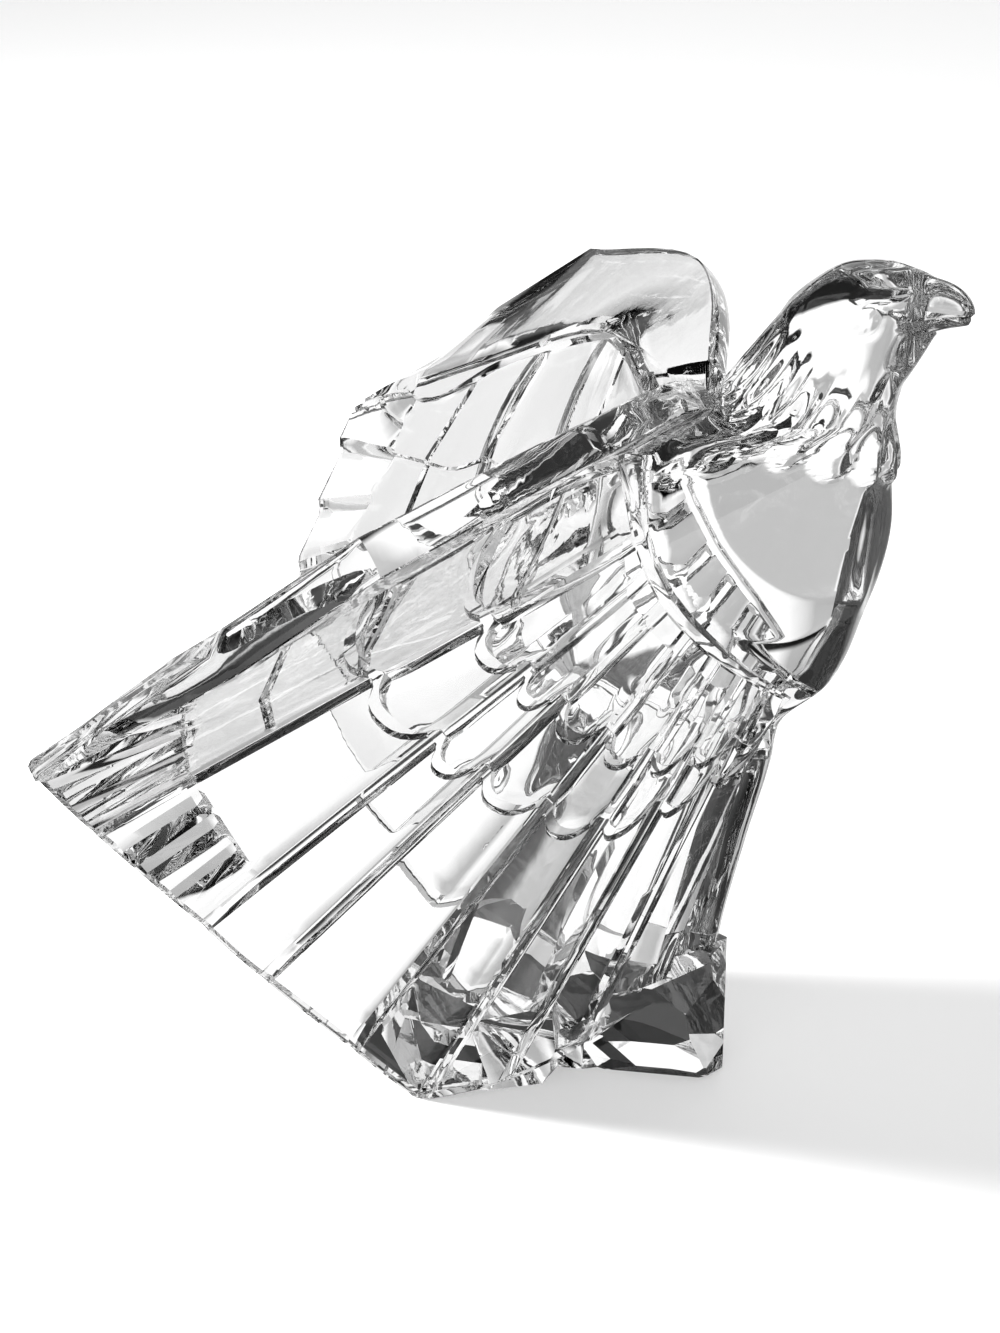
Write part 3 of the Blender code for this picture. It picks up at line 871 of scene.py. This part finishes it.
@dataclass
class TailShape:
    """Fanned tail: a thick wedge between the wings, with feathers cut on its back."""

    line: Landmarks = ((-4.0, 50.0, 4.2), (-10.5, 38.0, 6.4), (-18.5, 22.0, 9.4),
                       (-25.0, 5.5, 12.0))
    wall: float = 0.0220
    feathers: int = 5
    crown: float = 0.0040
    groove_depth: float = 0.0012
    groove_share: float = 0.16
    rows: int = 40
    feather_columns: int = 12

    def rings(self) -> Array:
        """Closed loops round the tail, one for each row."""
        line = smooth_curve(self.line, np.linspace(0.0, 1.0, self.rows))
        across = np.linspace(-1.0, 1.0, self.feathers * self.feather_columns + 1)
        parts = np.broadcast_arrays(line[:, 0], across[:, None] * line[:, 2], line[:, 1])
        middle = np.stack(parts, axis=-1) * PERCENT
        slope = unit(np.gradient(line[:, :2], axis=0))
        away = np.stack([slope[:, 1], 0.0 * slope[:, 0], -slope[:, 0]], axis=1)
        place = (0.5 * (across + 1.0) * self.feathers) % 1.0
        cut = np.minimum(place, 1.0 - place) / self.groove_share
        flute = clamp(1.0 - cut ** 2)
        lift = self.crown * (1.0 - across ** 2) - self.groove_depth * flute
        inner = middle - away * self.wall
        outer = middle + away * lift[:, None, None]
        return np.concatenate([outer, inner[::-1]]).transpose(1, 0, 2)

    def mesh(self) -> bpy.types.Mesh:
        """Closed mesh of the tail."""
        rings = self.rings()
        return loft_mesh("tail", rings, folded_lid(rings.shape[1], rings.shape[1] - 1))


@dataclass(frozen=True)
class Boulder:
    """One block of the rock: its middle, its half sizes and how many facets it has."""

    name: str
    middle: tuple[float, float, float]
    half: tuple[float, float, float]
    facets: int


@dataclass
class RockShape:
    """Faceted rock: a boulder under the breast, one behind it and a foot under each wing."""

    boulders: tuple[Boulder, ...] = (
        Boulder("front_boulder", (1.2, 0.0, 7.2), (10.4, 9.0, 9.8), 42),
        Boulder("left_foot", (-19.2, 8.0, 4.4), (10.2, 6.2, 8.6), 18),
        Boulder("right_foot", (-19.2, -8.0, 4.4), (10.2, 6.2, 8.6), 18),
        Boulder("middle_boulder", (-10.0, 0.0, 2.5), (11.0, 7.0, 5.4), 22),
    )
    power: float = 1.25
    unevenness: float = 0.10
    uneven_turn: float = 7.0

    def mesh(self, boulder: Boulder) -> bpy.types.Mesh:
        """Closed mesh of one boulder: a box with its facets cut off it.

        Facet k faces the k-th direction of a golden spiral on a ball. It lies as far out as a
        rounded box reaches, (sum (half n) ^ q) ^ (1 / q), less an uneven share of that.
        """
        count = np.arange(boulder.facets)
        rise = 1.0 - 2.0 * (count + 0.5) / boulder.facets
        turn = count * np.pi * (3.0 - math.sqrt(5.0))
        level = np.sqrt(1.0 - rise ** 2)
        ways = np.stack([level * np.cos(turn), level * np.sin(turn), rise], axis=1)
        half = np.array(boulder.half)
        reach = ((np.abs(ways) * half) ** self.power).sum(axis=1) ** (1.0 / self.power)
        reach = reach * (1.0 - self.unevenness * (1.0 + np.sin(self.uneven_turn * count)))
        ways = np.concatenate([ways, np.eye(3), -np.eye(3)])
        mesh = cut_block(boulder.name, ways, np.concatenate([reach, half, half]))
        mesh.transform(Matrix.Scale(PERCENT, 4) @ Matrix.Translation(boulder.middle))
        return mesh


@dataclass(frozen=True)
class CrystalFinish:
    """Clear colourless crystal, cut and polished, with the faint waves of a poured piece."""

    name: str = "crystal"
    tint: Numbers = (1.0, 1.0, 1.0, 1.0)
    ior: float = 1.55
    wave_scale: float = 45.0
    wave_height: float = 0.00012
    streak_scale: float = 260.0
    streak_height: float = 0.000012
    streak_stretch: Numbers = (1.0, 1.0, 0.12)
    noise_detail: float = 2.0
    polish: tuple[float, float] = (0.0, 0.02)
    worn: tuple[float, float] = (0.5, 0.75)

    def material(self) -> bpy.types.Material:
        """Material whose light passes by plain values on the shader.

        Nodes give the surface its broad waves, the streaks of polishing and a roughness that
        is nothing at most places and a trace where the polish is worn.
        """
        material = bpy.data.materials.new(self.name)
        material.use_nodes = True
        tree = material.node_tree
        place = add_node(tree, "TexCoord", {})["Object"]
        stretch = add_node(tree, "Mapping",
                           {"Vector": place, "Scale": self.streak_stretch})["Vector"]
        waves, streaks = (
            add_node(tree, "TexNoise",
                     {"Vector": at, "Scale": scale, "Detail": self.noise_detail})["Fac"]
            for at, scale in ((place, self.wave_scale), (stretch, self.streak_scale)))
        broad = add_node(tree, "Bump", {"Height": waves, "Distance": self.wave_height})
        fine = add_node(tree, "Bump", {
            "Height": streaks, "Distance": self.streak_height, "Normal": broad["Normal"]})
        wear = add_node(tree, "MapRange", {
            "Value": waves, "From Min": self.worn[0], "From Max": self.worn[1],
            "To Min": self.polish[0], "To Max": self.polish[1]})
        feed(tree, tree.nodes["Principled BSDF"], {
            "Base Color": self.tint, "IOR": self.ior, "Transmission Weight": 1.0,
            "Normal": fine["Normal"], "Roughness": wear["Result"]})
        return material


@dataclass
class EagleFigurine:
    """The whole figurine: wings, body, tail and rock joined into one closed skin."""

    wing: WingShape = field(default_factory=WingShape)
    body: BodyShape = field(default_factory=BodyShape)
    tail: TailShape = field(default_factory=TailShape)
    rock: RockShape = field(default_factory=RockShape)
    finish: CrystalFinish = field(default_factory=CrystalFinish)
    sharp_angle: float = math.radians(26.0)

    def build(self) -> bpy.types.Object:
        """Makes the skin, dresses it and sets it in the plain solid's place."""
        meshes = [self.wing.mesh(Side.LEFT), self.wing.mesh(Side.RIGHT), self.tail.mesh()]
        meshes += [self.rock.mesh(boulder) for boulder in self.rock.boulders]
        piece = bpy.data.objects.new("crystal_eagle", self.joined(self.body.mesh(), meshes))
        bpy.context.scene.collection.objects.link(piece)
        piece.data.materials.clear()
        piece.data.materials.append(self.finish.material())
        piece.data.shade_smooth()
        piece.data.set_sharp_from_angle(angle=self.sharp_angle)
        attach(piece, "root")
        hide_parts("eagle")
        return piece

    def joined(self, base: bpy.types.Mesh, others: list[bpy.types.Mesh]) -> bpy.types.Mesh:
        """One closed mesh from several that overlap, cut off flat at the table.

        Args:
            base: The first mesh.
            others: The meshes that join it.

        Returns:
            The new mesh, in metres.
        """
        scene = bpy.context.scene.collection
        union = bpy.data.collections.new("union")
        target = bpy.data.objects.new("target", base)
        scene.objects.link(target)
        scene.children.link(union)
        helpers = [bpy.data.objects.new(mesh.name, mesh) for mesh in others]
        for helper in helpers:
            union.objects.link(helper)
        size = 4.0 * HEIGHT
        bpy.ops.mesh.primitive_cube_add(size=size, location=(0.0, 0.0, -0.5 * size))
        table = bpy.context.object
        join, cut = (target.modifiers.new(name, "BOOLEAN") for name in ("join", "cut"))
        join.solver = cut.solver = "EXACT"
        join.operation, cut.operation = "UNION", "DIFFERENCE"
        join.operand_type = "COLLECTION"
        join.collection, cut.object = union, table
        shown = target.evaluated_get(bpy.context.evaluated_depsgraph_get())
        mesh = bpy.data.meshes.new_from_object(shown)
        mesh.name = "crystal_eagle"
        for thing in (*helpers, table, target):
            bpy.data.objects.remove(thing)
        bpy.data.collections.remove(union)
        return mesh


@dataclass(frozen=True)
class Sheet:
    """Flat round sheet of the studio: the floor, or the black mat under the rock, which is painted
    shade.
    """

    name: str
    radius: float
    place: Numbers
    corners: int
    grey: float
    roughness: float
    glow: float

    def build(self) -> bpy.types.Object:
        """Makes the sheet and dresses it."""
        bpy.ops.mesh.primitive_circle_add(vertices=self.corners, radius=self.radius,
                                          fill_type="NGON", location=self.place)
        sheet = bpy.context.object
        sheet.name = self.name
        material = bpy.data.materials.new(self.name)
        material.use_nodes = True
        feed(material.node_tree, material.node_tree.nodes["Principled BSDF"], {
            "Base Color": (*[self.grey] * 3, 1.0), "Roughness": self.roughness,
            "Emission Color": (1.0, 1.0, 1.0, 1.0), "Emission Strength": self.glow})
        sheet.data.materials.append(material)
        return sheet


@dataclass(frozen=True)
class Card:
    """Dark card on a stand: an upright band of the surround, by turns in degrees from +X."""

    centre: float
    half: float
    grey: float
    edge: float = 3.0

    def shade(self, tree: bpy.types.NodeTree, colour: bpy.types.NodeSocket,
              turn: bpy.types.NodeSocket) -> bpy.types.NodeSocket:
        """Darkens the surround behind the card to a share of its light, with a soft edge.

        Args:
            tree: Node tree of the surround.
            colour: Socket of the colour so far.
            turn: Socket of the turn about the upright axis.

        Returns:
            The socket of the new colour.
        """
        offset = add_node(tree, "Math", {0: turn, 1: math.radians(self.centre)},
                          operation="SUBTRACT")
        away = add_node(tree, "Math", {0: offset["Value"]}, operation="ABSOLUTE")
        band = add_node(tree, "MapRange", {
            "Value": away["Value"], "From Min": math.radians(self.half - self.edge),
            "From Max": math.radians(self.half + self.edge), "To Min": self.grey})
        inputs = {"Factor": 1.0, 6: colour, 7: band["Result"]}
        return add_node(tree, "Mix", inputs, data_type="RGBA", blend_type="MULTIPLY")[2]


@dataclass
class Studio:
    """Plain pale floor, soft light and the camera at the photograph's viewing angle."""

    floor: Sheet = Sheet("floor", 6.0, (0.0, 0.0, 0.0), 96, 0.6, 0.6, 0.35)
    # Black mat under the rock, seen only through the crystal: painted shade that darkens the rock
    # and the feet of the wings.
    painted_shade_mat: Sheet = Sheet("painted_shade_mat", 0.055, (-0.022, 0.0, -0.0006), 48, 0.01, 1.0, 0.0)
    azimuth: float = math.radians(10.0)
    elevation: float = math.radians(22.0)
    distance: float = 0.75
    aim_height: float = 0.1
    lens: float = 81.0
    centre_offset: tuple[float, float] = (-140.0, 25.5)
    pixels_focal: float = 3000.0
    dark: float = 0.02
    band_stops: Landmarks = ((-0.64, 0.0), (-0.60, 1.0), (-0.43, 1.0), (-0.39, 0.93),
                             (-0.30, 0.88), (-0.15, 0.86), (-0.05, 1.0), (0.10, 1.0),
                             (0.13, 0.0), (0.20, 0.0), (0.23, 1.0), (0.5, 0.9))
    cards: tuple[Card, ...] = (Card(124.0, 8.0, 0.5), Card(172.0, 34.0, 0.05),
                               Card(15.0, 45.0, 0.45), Card(-165.0, 50.0, 0.05))
    bounces: int = 14
    lamp_place: Numbers = (-1.2, 0.0, 0.28)
    lamp_aim: Numbers = (0.0, 0.0, 0.05)
    lamp_size: float = 0.2
    lamp_power: float = 90.0

    def sheets(self) -> None:
        """Floor that the crystal doesn't show, and a black mat of painted shade that only the
        crystal shows.
        """
        floor = self.floor.build()
        floor.visible_transmission = False
        floor.visible_glossy = False
        # Painted shade: the black mat is hidden from the camera, from diffuse light and from
        # shadows, so only the crystal shows its dark.
        painted_shade_mat = self.painted_shade_mat.build()
        painted_shade_mat.visible_camera = False
        painted_shade_mat.visible_diffuse = False
        painted_shade_mat.visible_shadow = False

    def camera(self) -> None:
        """Camera at the photograph's place, turned so that the figurine falls as framed."""
        sin_a, cos_a = math.sin(self.azimuth), math.cos(self.azimuth)
        sin_e, cos_e = math.sin(self.elevation), math.cos(self.elevation)
        back = Vector((sin_a * cos_e, -cos_a * cos_e, sin_e))
        right = Vector((cos_a, sin_a, 0.0))
        up = back.cross(right)
        across, above = (offset / self.pixels_focal for offset in self.centre_offset)
        aim = (across * right + above * up - back).normalized()
        side = aim.cross(up).normalized()
        turn = Matrix((side, side.cross(aim), -aim)).transposed()
        data = bpy.data.cameras.new("camera")
        data.lens = self.lens
        data.clip_start = 0.01
        camera = bpy.data.objects.new("camera", data)
        place = Vector((0, 0, self.aim_height)) + self.distance * back
        camera.matrix_world = Matrix.Translation(place) @ turn.to_4x4()
        bpy.context.scene.collection.objects.link(camera)
        bpy.context.scene.camera = camera

    def world(self) -> None:
        """Surround that is white in a band about the horizon and dark above and below it.

        The glass shows this surround and the mat alone, so its rims and steep cuts turn dark
        against the white band, as they do in front of a lit sheet in a dark room. Cards darken
        the band here and there.
        """
        world = bpy.data.worlds.new("world")
        bpy.context.scene.world = world
        world.use_nodes = True
        tree = world.node_tree
        place = add_node(tree, "TexCoord", {})["Generated"]
        parts = add_node(tree, "SeparateXYZ", {"Vector": place})
        height = add_node(tree, "MapRange", {"Value": parts["Z"], "From Min": -1.0})
        colour = add_node(tree, "ValToRGB", {"Fac": height["Result"]})["Color"]
        elements = colour.node.color_ramp.elements
        while len(elements) < len(self.band_stops):
            elements.new(0.5)
        for element, (level, light) in zip(elements, self.band_stops):
            grey = self.dark + (1.0 - self.dark) * light
            element.position = 0.5 * (level + 1.0)
            element.color = (grey, grey, grey, 1.0)
        turn = add_node(tree, "Math", {0: parts["Y"], 1: parts["X"]}, operation="ARCTAN2")
        for card in self.cards:
            colour = card.shade(tree, colour, turn["Value"])
        feed(tree, tree.nodes["Background"], {"Color": colour})

    def lamp(self) -> None:
        """Soft lamp behind the tail, low enough to cast a long shadow past the breast."""
        data = bpy.data.lights.new("lamp", "AREA")
        data.size = self.lamp_size
        data.energy = self.lamp_power
        lamp = bpy.data.objects.new("lamp", data)
        place = Vector(self.lamp_place)
        turn = (Vector(self.lamp_aim) - place).to_track_quat("-Z", "Y")
        lamp.matrix_world = Matrix.Translation(place) @ turn.to_matrix().to_4x4()
        lamp.visible_transmission = False
        lamp.visible_glossy = False
        bpy.context.scene.collection.objects.link(lamp)

    def build(self) -> None:
        """Sets up the floor, the black mat of painted shade, the surround, the lamp and the camera.
        """
        self.sheets()
        self.world()
        self.lamp()
        self.camera()
        scene = bpy.context.scene
        scene.view_settings.view_transform = "Standard"
        scene.view_settings.look = "Medium High Contrast"
        scene.cycles.max_bounces = self.bounces
        scene.cycles.transmission_bounces = self.bounces
        scene.cycles.glossy_bounces = self.bounces


def main() -> None:
    """Builds the figurine and its studio, and reports the piece."""
    logging.basicConfig(level=logging.INFO, format="%(message)s")
    Studio().build()
    piece = EagleFigurine().build()
    LOG.info("%s: %d faces", piece.name, len(piece.data.polygons))


if __name__ == "__main__":
    main()
